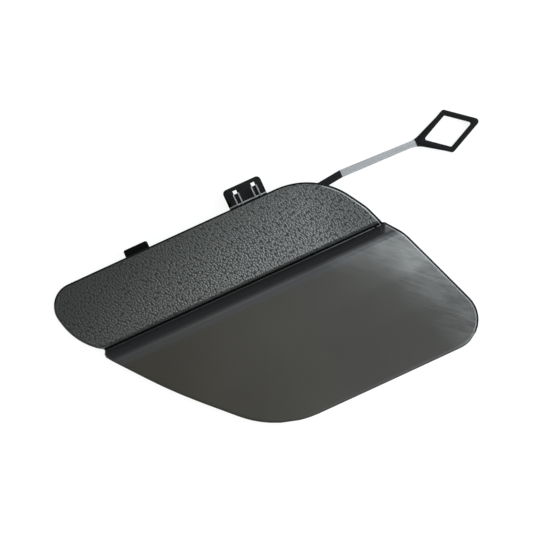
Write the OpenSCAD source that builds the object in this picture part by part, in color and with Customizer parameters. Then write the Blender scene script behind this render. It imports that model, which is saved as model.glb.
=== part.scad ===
// Cover for the towing eye opening of a bumper, moulded in one piece.
// X runs along the groove of the face, Y towards the hook tab, Z out of the face.
// The skirt behind the face ends in one plane, which is Z = 0.

/* [Face] */
// Length of the groove between the band and the panel
groove_len = 139; // [120:0.5:160]
// Depth of the grained band, from the groove to its straight edge
band_depth = 34.4; // [30:0.2:42]
// Depth of the smooth panel, from the groove to its straight edge
panel_depth = 66.5; // [56:0.1:80]
// Thickness of the moulded wall of the face
wall = 2.5; // [2:0.1:3]
// Radius of the face along its length
crown_r = 900; // [700:10:1500]

/* [Section of the face] */
// Height of the band at its straight edge, over the seating plane
band_edge_h = 16.2; // [14.5:0.1:19]
// Rise of the band's crest above its straight edge
band_crest = 2.1; // [1:0.1:3]
// Radius of the band's crest
band_crest_r = 130; // [80:5:200]
// Drop of the band from its crest to its rounded lower edge
band_fall = 1.3; // [0.5:0.1:2]
// Radius of the band's rounded lower edge
band_nose_r = 3.2; // [3.1:0.1:4]
// Depth of the groove below the band's rounded edge
groove_depth = 6.6; // [5:0.1:7.5]
// Width of the sloping far wall of the groove
groove_slope = 5.6; // [4.6:0.1:7]
// Height of the panel's ridge above the bottom of the groove
ridge_rise = 5.8; // [4:0.1:6.5]
// Radius of the panel's ridge
ridge_r = 4.5; // [3:0.1:6]
// Rise of the middle of the panel above its ridge
belly_rise = 0.4; // [0:0.1:1.5]
// Distance of the middle of the panel from the groove
belly_at = 34; // [28:0.5:40]
// Radius of the panel across its depth
belly_r = 400; // [250:10:800]
// Fall of the panel from its middle to its straight edge
panel_fall = 3.8; // [2:0.1:5]

/* [Outline of the band] */
// Overhang of the left corner past the groove
band_left_out = 16.2; // [12:0.1:20]
// Radius of the left corner
band_left_r = 10.8; // [5:0.1:12]
// Overhang of the left heel past the groove
heel_out = 9.9; // [7:0.1:11]
// Distance of the left heel above the groove
heel_up = 7.4; // [5:0.1:9]
// Radius of the left heel
heel_r = 35.5; // [15:0.5:40]
// Distance of the right shoulder inside the end of the groove
shoulder_in = 18.4; // [14:0.1:22]
// Radius of the right shoulder
shoulder_r = 34.8; // [28:0.2:38]
// Distance of the right hip inside the end of the groove
hip_in = 3.5; // [2:0.1:4.5]
// Distance of the right hip above the groove
hip_up = 9.9; // [8:0.1:12]
// Radius of the right hip
hip_r = 20; // [10:1:30]

/* [Outline of the panel] */
// Distance of the panel's upper edge above the bottom of the groove
lip_up = 0.6; // [0.4:0.1:1]
// Overhang of the right tip past the groove
right_tip_out = 1.2; // [1:0.1:3]
// Radius of the two tips beside the groove
tip_r = 1.5; // [1:0.1:2]
// Overhang of the right flank past the groove
flank_out = 7.3; // [6:0.1:9]
// Distance of the right flank below the groove
flank_down = 8.1; // [7:0.1:11]
// Radius of the right flank
flank_r = 22; // [10:1:30]
// Overhang of the lower right corner past the groove
right_corner_out = 29.4; // [24:0.1:34]
// Radius of the lower right corner
right_corner_r = 14.2; // [10:0.1:20]
// Distance of the lower left corner inside the end of the groove
left_corner_in = 57; // [50:0.5:62]
// Radius of the lower left corner
left_corner_r = 48; // [30:1:55]
// Distance of the bend in the left edge inside the end of the groove
bend_in = 20.5; // [18:0.1:24]
// Distance of the bend in the left edge below the groove
bend_down = 29.9; // [26:0.1:34]
// Radius of the bend in the left edge
bend_r = 250; // [100:10:400]
// Overhang of the left tip past the groove
left_tip_out = 1.5; // [1:0.1:2.5]
// Distance of the left tip below the groove
left_tip_down = 2.3; // [1.8:0.1:3]

/* [Back] */
// Distance of the skirt inside the outline of the face
skirt_inset = 2.2; // [1.8:0.1:3]
// Thickness of the skirt
skirt_t = 1.8; // [1.4:0.1:2.4]
// Height of the free edge of the stiffening ribs over the seating plane
rib_free_h = 8.5; // [7:0.1:10]
// Thickness of the stiffening ribs
rib_t = 1.2; // [0.8:0.1:1.6]
// Spacing of the cross ribs
rib_pitch = 32; // [26:1:40]
// Distance of the long rib from the groove
long_rib_at = 30; // [24:1:36]

/* [Hook tab] */
// Place of the tab along the groove, from its middle
hook_at = 18.2; // [10:0.1:24]
// Width of the tab
hook_w = 18.5; // [16:0.1:22]
// Reach of the tab past the straight edge of the band
hook_out = 9.2; // [7.6:0.1:11]
// Thickness of the tab
hook_t = 2.5; // [2:0.1:3]
// Radius of the tab's corners
hook_r = 2; // [1:0.1:3]
// Gap between the tab and the back of the face
hook_gap = 3; // [2.5:0.1:3.8]
// Spacing of the two slots
slot_pitch = 8.9; // [7:0.1:10]
// Shift of the slots from the middle of the tab
slot_shift = 0.6; // [-0.8:0.1:0.8]
// Width of a slot
slot_w = 1.8; // [1.6:0.1:2.4]
// Length of the open end of a slot
window_len = 1.7; // [1.5:0.1:3]
// Distance of a slot from the tip of the tab
slot_from_tip = 1.8; // [1.2:0.1:2.2]
// Depth of the closed part of a slot
slot_depth = 0.9; // [0.5:0.1:1.4]
// Width of the raised lips beside the slots and across the root
lip_w = 0.6; // [0.4:0.1:0.9]
// Height of the raised lips
lip_h = 0.5; // [0.3:0.1:0.8]

/* [Locating tab] */
// Place of the tab along the groove, from its middle
locator_at = -37.3; // [-44:0.1:-28]
// Width of the tab
locator_w = 11.7; // [9:0.1:14]
// Reach of the tab past the straight edge of the band
locator_out = 3.4; // [2:0.1:4]
// Thickness of the tab
locator_t = 2; // [1.6:0.1:2.6]
// Radius of the tab's corners
locator_r = 1; // [0.5:0.1:1.4]

/* [Snap fingers] */
// Place of the middle between the fingers, along the groove
finger_mid = 42; // [38:0.5:46]
// Spacing of the two fingers
finger_pitch = 40; // [32:0.5:44]
// Width of a finger
finger_w = 10; // [8:0.1:12]
// Width of the relief slot on each side of a finger
relief_w = 1.6; // [1.2:0.1:2.2]
// Length of a finger
finger_len = 7; // [6:0.1:8]
// Reach of the nose past the skirt
nose_out = 1.6; // [1:0.1:1.7]
// Height of the nose's catching edge over the seating plane
nose_h = 4.4; // [3.8:0.1:5]

/* [Strap and ring] */
// Place of the strap's root on the right shoulder, as an angle
strap_at = 60; // [55:0.5:66]
// Direction in which the strap leaves the shoulder
strap_heading = 6.2; // [0:0.1:14]
// Length of the strap from its root to its kink
strap_lead = 14.7; // [13:0.1:18]
// Length of the strap from its kink to the ring's joint
strap_run = 37.2; // [30:0.1:60]
// Direction of the strap after its kink
strap_run_heading = -1.8; // [-6:0.1:4]
// Width of the strap at its kink
strap_w = 3.5; // [3:0.1:4.5]
// Width of the strap at the ring
strap_end_w = 2.9; // [2.4:0.1:3.6]
// Thickness of the strap
strap_t = 1.6; // [1.2:0.1:2.2]
// Height of the middle of the strap's root over the seating plane
strap_root_h = 8; // [6.5:0.1:9]
// Height of the middle of the strap's kink over the seating plane
strap_kink_h = 5.6; // [4:0.1:6.4]
// Height of the middle of the ring over the seating plane
ring_h = 3.1; // [2:0.1:4]
// Distance of the ring's opening from the end of the strap
ring_gap = 4.1; // [3:0.1:6]
// Long diagonal of the ring's opening
ring_len = 23.4; // [18:0.1:28]
// Short diagonal of the ring's opening
ring_wide = 14.8; // [11:0.1:18]
// Direction of the ring's long diagonal
ring_heading = -5; // [-8:0.5:4]
// Lean of the ring's short diagonal
ring_lean = 7; // [0:0.5:12]
// Width of the ring's bar
ring_bar = 2.4; // [2:0.1:3.2]
// Thickness of the ring
ring_t = 2.4; // [1.8:0.1:3]
// Radius of the corners of the ring's opening
ring_r = 0.8; // [0.4:0.1:1.2]
// Radius of the outer corners of the ring
ring_tip_r = 1.6; // [0.8:0.1:2.4]
// Length of the flared joint along the sides of the ring
flare_len = 15.5; // [10:0.5:17]
// Radius of the fillets between the strap and the joint
joint_r = 12; // [4:0.5:14]

/* [Hidden] */

arc_step = 6;
crown_fn = 720;
round_fn = 32;
spare = 12;
seam = 0.4;
tiny = 0.001;
least_r = 0.4;
notch_r = 0.5;
nose_lead = 0.15;
nose_land = 0.65;
gusset_foot = 1;
plastic = [0.17, 0.18, 0.18];

groove_half = groove_len / 2;
face_top = band_edge_h + band_crest;
sweep = 2 * asin((groove_half + right_corner_out + spare) / crown_r);

// A path is a list of [x, y, radius], and its corners are rounded by their radius.
function at(path, i) = path[(i + len(path)) % len(path)];
function flat(v) = [v.x, v.y];
function unit(v) = v / norm(v);
function left(v) = [-v.y, v.x];
function edge(path, i) = flat(at(path, i + 1)) - flat(at(path, i));
function turn(u, v) = atan2(cross(u, v), u * v);
function corner_turn(path, i) = turn(edge(path, i - 1), edge(path, i));
function corner_reach(path, i) = at(path, i).z * tan(abs(corner_turn(path, i)) / 2);
function edge_room(path, i) =
    norm(edge(path, i)) / max(corner_reach(path, i) + corner_reach(path, i + 1), tiny);
function corner_r(path, i) = at(path, i).z * min(1, edge_room(path, i - 1), edge_room(path, i));
function corner_side(path, i) = left(unit(edge(path, i - 1))) * sign(corner_turn(path, i));
function corner_centre(path, i) =
    flat(at(path, i))
    - unit(edge(path, i - 1)) * corner_r(path, i) * tan(abs(corner_turn(path, i)) / 2)
    + corner_side(path, i) * corner_r(path, i);
function spin(v, a) = [v.x * cos(a) - v.y * sin(a), v.x * sin(a) + v.y * cos(a)];
function corner_arc(path, i) =
    let (steps = ceil(abs(corner_turn(path, i)) / arc_step))
    [for (k = [0:steps]) corner_centre(path, i)
        - spin(corner_side(path, i) * corner_r(path, i), corner_turn(path, i) * k / steps)];
function rounded(path) =
    [for (i = [0:len(path) - 1]) each at(path, i).z > 0 ? corner_arc(path, i) : [flat(at(path, i))]];

// Moves every edge of a path to its left, and changes the radii to suit.
function mitre(n, m) = (n + m) / (1 + n * m);
function eased(r, turned, d) = r > 0 ? max(r - d * sign(turned), least_r) : 0;
function moved(path, i, n, m, d) =
    let (v = flat(at(path, i)) + mitre(n, m) * d)
    [v.x, v.y, eased(at(path, i).z, corner_turn(path, i), d)];
function inset(path, d) =
    [for (i = [0:len(path) - 1])
        moved(path, i, left(unit(edge(path, i - 1))), left(unit(edge(path, i))), d)];
function inset_open(path, d) =
    let (last = len(path) - 1)
    [for (i = [0:last])
        moved(path, i,
            left(unit(edge(path, max(i - 1, 0)))),
            left(unit(edge(path, min(i, last - 1)))), d)];
function reversed(path) = [for (i = [len(path) - 1:-1:0]) path[i]];

// Outline of the face, anticlockwise from the tip at the right end of the groove
outline_path = [
    [groove_half + right_tip_out, lip_up, tip_r],
    [groove_half, lip_up, notch_r],
    [groove_half - hip_in, hip_up, hip_r],
    [groove_half - shoulder_in, band_depth, shoulder_r],
    [-groove_half - band_left_out, band_depth, band_left_r],
    [-groove_half - heel_out, heel_up, heel_r],
    [-groove_half, lip_up, notch_r],
    [-groove_half - left_tip_out, -left_tip_down, tip_r],
    [-groove_half + bend_in, -bend_down, bend_r],
    [-groove_half + left_corner_in, -panel_depth, left_corner_r],
    [groove_half + right_corner_out, -panel_depth, right_corner_r],
    [groove_half + flank_out, -flank_down, flank_r]];
shoulder = 3;

// Section of the face as [y, height, radius], from the band's edge to the panel's edge
band_crest_y = band_depth / 2;
band_slope = band_crest / band_crest_y;
nose_y = 0.9;
nose_z = face_top - band_fall;
groove_z = nose_z - groove_depth;
ridge_z = groove_z + ridge_rise;
belly_z = ridge_z + belly_rise;
panel_slope = panel_fall / (panel_depth - belly_at);
face_line = [
    [band_depth + spare, band_edge_h - spare * band_slope, 0],
    [band_crest_y, face_top, band_crest_r],
    [nose_y, nose_z, band_nose_r],
    [0, groove_z, least_r],
    [-groove_slope, ridge_z, ridge_r],
    [-belly_at, belly_z, belly_r],
    [-panel_depth - spare, belly_z - (panel_depth - belly_at + spare) * panel_slope, 0]];

function crown_drop(x) = crown_r - sqrt(crown_r * crown_r - x * x);

// Turns a section about an axis along Y that lies one crown radius under the seating plane.
module turned(section) {
    translate([0, 0, -crown_r])
        rotate([-90, 0, 0])
            rotate([0, 0, -90 - sweep / 2])
                rotate_extrude(angle = sweep, $fn = crown_fn)
                    polygon([for (p = section) [crown_r + p.y, p.x]]);
}

// The area inside the outline, less a margin
module inner_area(margin) {
    polygon(rounded(inset(outline_path, margin)));
}

module face() {
    intersection() {
        turned(rounded(concat(face_line, reversed(inset_open(face_line, wall)))));
        linear_extrude(face_top + spare) polygon(rounded(outline_path));
    }
}

// All that stands behind the face reaches up to the middle of its wall.
module below_face() {
    deep = -face_top;
    middle = inset_open(face_line, wall / 2);
    last = middle[len(middle) - 1];
    turned(rounded(concat(middle, [[last.x, deep, 0], [middle[0].x, deep, 0]])));
}

module skirt() {
    linear_extrude(face_top) difference() {
        inner_area(skirt_inset);
        inner_area(skirt_inset + skirt_t);
    }
}

module ribs() {
    reach = groove_half + right_corner_out;
    translate([0, 0, rib_free_h]) linear_extrude(face_top - rib_free_h) intersection() {
        inner_area(skirt_inset + skirt_t / 2);
        union() {
            for (k = [-2:2]) translate([k * rib_pitch - rib_t / 2, -panel_depth])
                square([rib_t, panel_depth + band_depth]);
            translate([-reach, -long_rib_at - rib_t / 2]) square([2 * reach, rib_t]);
        }
    }
}

// Sections of the snap fingers stand in the straight lower wall of the skirt.
finger_y = -panel_depth + skirt_inset;
module each_finger() {
    for (side = [-1, 1]) translate([finger_mid + side * finger_pitch / 2, finger_y]) children();
}

module relief_slots() {
    each_finger() for (side = [-1, 1])
        translate([side * (finger_w + relief_w) / 2 - relief_w / 2, -seam, -seam])
            cube([relief_w, skirt_t + 2 * seam, finger_len + seam]);
}

module noses() {
    lead = nose_h * nose_lead;
    land = nose_h * nose_land;
    each_finger() translate([-finger_w / 2, 0, 0]) rotate([90, 0, 90])
        linear_extrude(finger_w)
            polygon([
                [seam, lead],
                [0, lead],
                [-nose_out, land],
                [-nose_out, land + seam],
                [0, nose_h],
                [seam, nose_h]]);
}

// The tabs start inside the skirt and pass under the edge of the band.
tab_root_y = band_depth - skirt_inset - skirt_t / 2;
tab_top = band_edge_h - wall - hook_gap - crown_drop(hook_at);

module tab_plate(w, reach, t, r) {
    len = skirt_inset + skirt_t / 2 + reach;
    plate = [[-w / 2, 0, 0], [w / 2, 0, 0], [w / 2, len, r], [-w / 2, len, r]];
    translate([0, tab_root_y, -t]) linear_extrude(t) polygon(rounded(plate));
}

module hook_tab() {
    slot_end = band_depth + hook_out - slot_from_tip;
    window_start = slot_end - window_len;
    gusset_drop = tab_top - hook_t - gusset_foot;
    translate([hook_at, 0, tab_top]) {
        difference() {
            tab_plate(hook_w, hook_out, hook_t, hook_r);
            for (side = [-1, 1]) translate([slot_shift + side * slot_pitch / 2 - slot_w / 2, 0, 0]) {
                translate([0, window_start, -hook_t - seam]) cube([slot_w, window_len, hook_t + 2 * seam]);
                translate([0, band_depth, -slot_depth]) cube([slot_w, slot_end - band_depth, slot_depth + seam]);
            }
        }
        for (side = [-1, 1]) translate([slot_shift + side * slot_pitch / 2, 0, 0]) {
            translate([-slot_w / 2, 0, 0]) rotate([90, 0, 90]) linear_extrude(slot_w)
                polygon([
                    [tab_root_y, -slot_depth - seam],
                    [window_start, -slot_depth - seam],
                    [window_start, -hook_t - seam],
                    [tab_root_y, -hook_t - gusset_drop]]);
            for (edge_side = [-1, 1])
                translate([edge_side * (slot_w + lip_w) / 2 - lip_w / 2, band_depth, -seam])
                    cube([lip_w, window_start - band_depth, lip_h + seam]);
        }
        translate([-hook_w / 2, band_depth + seam, -seam]) cube([hook_w, lip_w, lip_h + seam]);
    }
}

module locating_tab() {
    translate([locator_at, 0, tab_top]) tab_plate(locator_w, locator_out, locator_t, locator_r);
}

// The strap starts inside the skirt at the shoulder, falls to its kink and runs on to the ring.
shoulder_centre = corner_centre(outline_path, shoulder);
root_r = corner_r(outline_path, shoulder) - skirt_inset - skirt_t / 2;
root = shoulder_centre + root_r * [cos(strap_at), sin(strap_at)];
skirt_way = [sin(strap_at), -cos(strap_at)];
lead_way = [cos(strap_heading), sin(strap_heading)];
run_way = [cos(strap_run_heading), sin(strap_run_heading)];
kink = root + strap_lead * lead_way;
joint = kink + strap_run * run_way;
ring_mid = joint + (ring_gap + ring_len / 2) * [cos(ring_heading), sin(ring_heading)];
ring_along = ring_len / 2 * [cos(ring_heading), sin(ring_heading)];
ring_across = ring_wide / 2 * [cos(ring_heading + 90 - ring_lean), sin(ring_heading + 90 - ring_lean)];

function corner(v, r) = [v.x, v.y, r];
ring_hole = [
    corner(ring_mid + ring_along, ring_r),
    corner(ring_mid + ring_across, ring_r),
    corner(ring_mid - ring_along, ring_r),
    corner(ring_mid - ring_across, ring_r)];
ring_rim = [for (p = inset(ring_hole, -ring_bar)) corner(p, ring_tip_r)];

// Plan of the strap, which ends in a joint that spreads along two sides of the ring
root_side = skirt_way * strap_w / 2 / cross(lead_way, skirt_way);
kink_side = mitre(left(lead_way), left(run_way)) * strap_w / 2;
joint_side = left(run_way) * strap_end_w / 2;
ring_tip = flat(ring_rim[2]);
spread_left = ring_tip + unit(flat(ring_rim[1]) - ring_tip) * flare_len;
spread_right = ring_tip + unit(flat(ring_rim[3]) - ring_tip) * flare_len;
strap_plan = [
    corner(root - root_side, 0),
    corner(kink - kink_side, 0),
    corner(joint - joint_side, joint_r),
    corner(spread_right, 0),
    ring_hole[2],
    corner(spread_left, 0),
    corner(joint + joint_side, joint_r),
    corner(kink + kink_side, 0),
    corner(root + root_side, 0)];

// Middle of the strap's thickness from the side, as [x, height, radius]
lead_fall = (strap_root_h - strap_kink_h) / (kink.x - root.x);
strap_line = [
    [root.x - strap_w, strap_root_h + strap_w * lead_fall, 0],
    [kink.x, strap_kink_h, 0],
    [joint.x, ring_h, 0],
    [ring_mid.x, ring_h, 0]];

module strap() {
    top_side = inset_open(strap_line, strap_t / 2);
    under_side = inset_open(strap_line, -strap_t / 2);
    intersection() {
        linear_extrude(face_top) polygon(rounded(strap_plan));
        translate([0, band_depth, 0]) rotate([90, 0, 0]) linear_extrude(band_depth)
            polygon(rounded(concat(under_side, reversed(top_side))));
    }
}

module ring() {
    translate([0, 0, ring_h - ring_t / 2]) linear_extrude(ring_t) difference() {
        polygon(rounded(ring_rim));
        polygon(rounded(ring_hole));
    }
}

module cover() {
    color(plastic) union() {
        face();
        intersection() {
            below_face();
            difference() {
                union() {
                    skirt();
                    ribs();
                }
                relief_slots();
            }
        }
        noses();
        hook_tab();
        locating_tab();
        strap();
        ring();
    }
}

cover();
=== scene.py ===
# %% [markdown]
# # A bumper tow hook cover
# This small moulding closes the hole in a bumper through which the towing eye is screwed in.
# Its face continues the bumper: a grained band, a deep groove and a smooth panel. Behind the
# face stand a skirt and ribs, a slotted hook tab, a locating tab and two snap noses. A strap
# with a diamond ring keeps the open cover from getting lost.
#
# The imported model gives the frame: where everything is, in metres. The pieces made here take
# the place of its single solid, with the same sizes, rounder edges and real finishes, some
# of them with painted highlights and painted shade.

import math

import bmesh
import bpy
import numpy as np
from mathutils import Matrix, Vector, geometry


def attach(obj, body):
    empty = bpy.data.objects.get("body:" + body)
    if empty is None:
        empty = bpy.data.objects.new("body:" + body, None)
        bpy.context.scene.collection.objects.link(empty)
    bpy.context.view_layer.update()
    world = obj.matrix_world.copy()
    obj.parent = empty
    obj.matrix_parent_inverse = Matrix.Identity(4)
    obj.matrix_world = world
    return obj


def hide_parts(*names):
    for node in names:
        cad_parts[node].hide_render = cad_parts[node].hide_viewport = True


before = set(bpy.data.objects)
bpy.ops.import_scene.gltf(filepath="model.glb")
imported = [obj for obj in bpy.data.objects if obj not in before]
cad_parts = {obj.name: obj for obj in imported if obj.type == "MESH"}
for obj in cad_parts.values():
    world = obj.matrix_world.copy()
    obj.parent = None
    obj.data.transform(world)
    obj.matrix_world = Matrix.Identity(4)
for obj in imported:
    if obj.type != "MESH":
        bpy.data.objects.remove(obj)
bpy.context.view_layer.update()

# %% [markdown]
# ## Sizes
# All the sizes are in millimetres, as in the drawing of the part. They are repeated here,
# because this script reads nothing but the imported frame. MM turns them into metres when a
# mesh is made.

# %% Sizes of the face
MM = 0.001

groove_half = 139 / 2
band_depth = 34.4
panel_depth = 66.5
wall = 2.5
crown_r = 900
band_edge_h, band_crest, band_crest_r = 16.2, 2.1, 130
band_fall, band_nose_r, nose_y = 1.3, 3.2, 0.9
groove_depth, groove_slope = 6.6, 5.6
ridge_rise, ridge_r = 5.8, 4.5
belly_rise, belly_at, belly_r, panel_fall = 0.4, 34, 400, 3.8

# %% Sizes of the outline, as corners with a radius, anticlockwise from the right tip
lip_up, notch_r = 0.6, 0.5
outline_path = [
    (groove_half + 1.2, lip_up, 1.5),
    (groove_half, lip_up, notch_r),
    (groove_half - 3.5, 9.9, 20),
    (groove_half - 18.4, band_depth, 34.8),
    (-groove_half - 16.2, band_depth, 10.8),
    (-groove_half - 9.9, 7.4, 35.5),
    (-groove_half, lip_up, notch_r),
    (-groove_half - 1.5, -2.3, 1.5),
    (-groove_half + 20.5, -29.9, 250),
    (-groove_half + 57, -panel_depth, 48),
    (groove_half + 29.4, -panel_depth, 14.2),
    (groove_half + 7.3, -8.1, 22)]
shoulder_corner = 3

# %% Sizes of what stands behind the face
skirt_inset, skirt_t = 2.2, 1.8
rib_free_h, rib_t, rib_pitch, long_rib_at = 8.5, 1.2, 32, 30
hook_at, hook_w, hook_out, hook_t, hook_r, hook_gap = 18.2, 18.5, 9.2, 2.5, 2, 3
slot_pitch, slot_shift, slot_w, window_len, slot_from_tip, slot_depth = 8.9, 0.6, 1.8, 1.7, 1.8, 0.9
lip_w, lip_h = 0.6, 0.5
locator_at, locator_w, locator_out, locator_t, locator_r = -37.3, 11.7, 3.4, 2, 1
finger_mid, finger_pitch, finger_w, relief_w, finger_len = 42, 40, 10, 1.6, 7
nose_out, nose_h = 1.6, 4.4

# %% Sizes of the strap and the ring
strap_at, strap_heading, strap_lead = 60, 6.2, 14.7
strap_run, strap_run_heading = 37.2, -1.8
strap_w, strap_end_w, strap_t = 3.5, 2.9, 1.6
strap_root_h, strap_kink_h, ring_h = 8, 5.6, 3.1
ring_gap, ring_len, ring_wide, ring_heading, ring_lean = 4.1, 23.4, 14.8, -5, 7
ring_bar, ring_t, ring_r, ring_tip_r, flare_len, joint_r = 2.4, 2.4, 0.8, 1.6, 15.5, 12

# %% [markdown]
# ## Corners and offsets
# The outline is a list of corners with a radius, as on a drawing. `rounded` turns it into
# points on its straight edges and arcs, and `inset` moves every edge to the left by a
# distance. Both keep the number and order of the points, so a point of one outline has its
# partner in every inset one. The rounded rim, the skirt and the ribs all use that.

# %% Corners, insets and rounding
ARC_STEP = math.radians(3)
LEAST_R = 0.4


def unit(v):
    return v / np.linalg.norm(v)


def left(v):
    return np.array([-v[1], v[0]])


def turn(u, v):
    return math.atan2(u[0] * v[1] - u[1] * v[0], u @ v)


def corners(path):
    points = [np.array(p[:2], float) for p in path]
    edges = [points[(i + 1) % len(points)] - p for i, p in enumerate(points)]
    turns = [turn(edges[i - 1], e) for i, e in enumerate(edges)]
    return points, edges, turns


def inset(path, distance, is_open=False):
    points, edges, turns = corners(path)
    last = len(path) - 1
    moved = []
    for i, p in enumerate(points):
        before, after = edges[i - 1], edges[i]
        if is_open:
            before = edges[max(i - 1, 0)]
            after = edges[min(i, last - 1)]
        n, m = left(unit(before)), left(unit(after))
        place = p + (n + m) / (1 + n @ m) * distance
        r = path[i][2]
        eased = max(r - distance * math.copysign(1, turns[i]), LEAST_R) if r else 0
        moved.append((place[0], place[1], eased))
    return moved


def corner_radii(path):
    points, edges, turns = corners(path)
    reach = [p[2] * math.tan(abs(t) / 2) for p, t in zip(path, turns)]
    room = [np.linalg.norm(e) / max(reach[i] + reach[(i + 1) % len(path)], 0.001)
            for i, e in enumerate(edges)]
    return [p[2] * min(1, room[i - 1], room[i]) for i, p in enumerate(path)]


def corner_centre(path, i):
    points, edges, turns = corners(path)
    r = corner_radii(path)[i]
    side = left(unit(edges[i - 1])) * math.copysign(1, turns[i])
    return points[i] - unit(edges[i - 1]) * r * math.tan(abs(turns[i]) / 2) + side * r


def rounded(path):
    points, edges, turns = corners(path)
    radii = corner_radii(path)
    line = []
    for i, p in enumerate(points):
        if not path[i][2]:
            line.append(p)
            continue
        side = left(unit(edges[i - 1])) * math.copysign(1, turns[i])
        steps = math.ceil(abs(turns[i]) / ARC_STEP - 0.001)
        for k in range(steps + 1):
            a = turns[i] * k / steps
            spun = (side[0] * math.cos(a) - side[1] * math.sin(a),
                    side[0] * math.sin(a) + side[1] * math.cos(a))
            line.append(corner_centre(path, i) - np.array(spun) * radii[i])
    return np.array(line)


outline = rounded(outline_path)
print("outline of", len(outline), "points,", np.ptp(outline, axis=0).round(1), "mm")

# %% [markdown]
# ## The crowned section
# Across the groove the face follows a section: the band's crest, its rounded nose, the sharp
# crease, the sloping far wall, the ridge and the panel's soft belly. Along the groove this
# section is turned about an axis far below, which gives the face its crown. So the height at
# any place needs only the section and the radius of the crown.

# %% Height of the face at any place
face_top = band_edge_h + band_crest
nose_z = face_top - band_fall
groove_z = nose_z - groove_depth
ridge_z = groove_z + ridge_rise
belly_z = ridge_z + belly_rise
END = 12

face_line = [
    (band_depth + END, band_edge_h - END * band_crest / (band_depth / 2), 0),
    (band_depth / 2, face_top, band_crest_r),
    (nose_y, nose_z, band_nose_r),
    (0, groove_z, LEAST_R),
    (-groove_slope, ridge_z, ridge_r),
    (-belly_at, belly_z, belly_r),
    (-panel_depth - END, belly_z - (panel_depth - belly_at + END) * panel_fall / (panel_depth - belly_at), 0)]


def section(depth):
    line = rounded(inset(face_line, depth, is_open=True))
    order = np.argsort(line[:, 0], kind="stable")
    return line[order]


top_line, middle_line, under_line = section(0), section(wall / 2), section(wall)


def height(line, x, y):
    s = np.interp(y, line[:, 0], line[:, 1])
    return np.sqrt((crown_r + s) ** 2 - np.square(x)) - crown_r


print("heights on the groove's middle: crest", height(top_line, 0, band_depth / 2).round(2),
      "crease", height(top_line, 0, 0).round(2), "ridge", height(top_line, 0, -7).round(2))

# %% [markdown]
# ## Small helpers
# Meshes are made from points in millimetres. A node tree is easier to read when one call
# makes a node, gives its settings and connects its inputs.

# %% Making objects and nodes


def made(name, points, faces, materials=()):
    mesh = bpy.data.meshes.new(name)
    mesh.from_pydata((np.array(points) * MM).tolist(), [], [list(map(int, f)) for f in faces])
    mesh.update()
    obj = bpy.data.objects.new(name, mesh)
    bpy.context.scene.collection.objects.link(obj)
    for material in materials:
        mesh.materials.append(material)
    return obj


def socket(sockets, key):
    """A socket by its number, or the one in use among those with a name."""
    if isinstance(key, int):
        return sockets[key]
    return next(s for s in sockets if s.name == key and s.enabled)


def add(tree, kind, inputs=None, **settings):
    node = tree.nodes.new(kind)
    for key, value in settings.items():
        setattr(node, key, value)
    for key, value in (inputs or {}).items():
        if isinstance(value, bpy.types.NodeSocket):
            tree.links.new(value, socket(node.inputs, key))
        else:
            socket(node.inputs, key).default_value = value
    return node


def calc(tree, operation, a, b=0.0):
    return add(tree, "ShaderNodeMath", {0: a, 1: b}, operation=operation).outputs[0]


def calc_vector(tree, operation, a, b):
    return add(tree, "ShaderNodeVectorMath", {0: a, 1: b}, operation=operation).outputs[0]


def axes(tree, vector):
    return add(tree, "ShaderNodeSeparateXYZ", {0: vector}).outputs


def smooth(obj, sharp_angle=35):
    obj.data.polygons.foreach_set("use_smooth", [True] * len(obj.data.polygons))
    obj.data.set_sharp_from_angle(angle=math.radians(sharp_angle))
    return obj


def applied(obj):
    """Bakes the live modifiers into a plain mesh."""
    evaluated = obj.evaluated_get(bpy.context.evaluated_depsgraph_get())
    mesh = bpy.data.meshes.new_from_object(evaluated)
    obj.modifiers.clear()
    obj.data = mesh
    return obj


def finished(obj):
    """The piece stands for the frame's solid, and moves and is finished with it."""
    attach(obj, "root")
    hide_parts("cover")
    print(obj.name, len(obj.data.polygons), "faces")
    return obj


# %% [markdown]
# ## Plastics
# The whole cover is one shot of dark plastic, and its finishes come from the mould's steel:
# etched grain on the band, a satin polish on the panel, and a plain matt back. A dark
# plastic gets most of its brightness from what it mirrors, so the base colours are nearly
# black. Roughness, fine bump and the specular level make the difference between the
# finishes. The specular level isn't even: soft masks raise it where the photograph shows
# the band, the panel and the strap shining more, so these are painted highlights. They stand
# for the photograph's light, and so does the painted highlight plastic, which is a lighter
# grey than the rest. A near-black plastic on the rim's sides that look to +X or +Y, in the
# crease and on the locating tab is painted shade, and the back's darker base is painted shade
# for the parts that sit below the face. The real cover is most likely one colour all over,
# with a strap that mirrors a lamp.

# %% Shared parts of the plastics


def plastic(name, specular=0.5):
    material = bpy.data.materials.new(name)
    material.use_nodes = True
    tree = material.node_tree
    shader = tree.nodes["Principled BSDF"]
    shader.inputs["Specular IOR Level"].default_value = specular
    place = add(tree, "ShaderNodeTexCoord").outputs["Object"]
    return material, tree, shader, place


def stretched(tree, place, lengths, turned=0):
    """Coordinates of a pattern that is drawn out along its own axes and turned about Z."""
    mapping = add(tree, "ShaderNodeMapping", {"Vector": place, "Scale": lengths}, vector_type="TEXTURE")
    mapping.inputs["Rotation"].default_value[2] = math.radians(turned)
    return mapping.outputs["Vector"]


def blended(tree, factor, low, high):
    """A colour between two others, each of which is a colour or comes from a node."""
    ends = [(*colour, 1) if isinstance(colour, tuple) else colour for colour in (low, high)]
    mix = add(tree, "ShaderNodeMix", {"Factor": factor, "A": ends[0], "B": ends[1]}, data_type="RGBA")
    return socket(mix.outputs, "Result")


def mottled(tree, shader, target, factor, low, high):
    """A colour or a number that wanders between two values."""
    if isinstance(low, tuple):
        result = blended(tree, factor, low, high)
    else:
        spread = add(tree, "ShaderNodeMapRange", {"Value": factor, "To Min": low, "To Max": high})
        result = spread.outputs["Result"]
    tree.links.new(result, shader.inputs[target])


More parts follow.
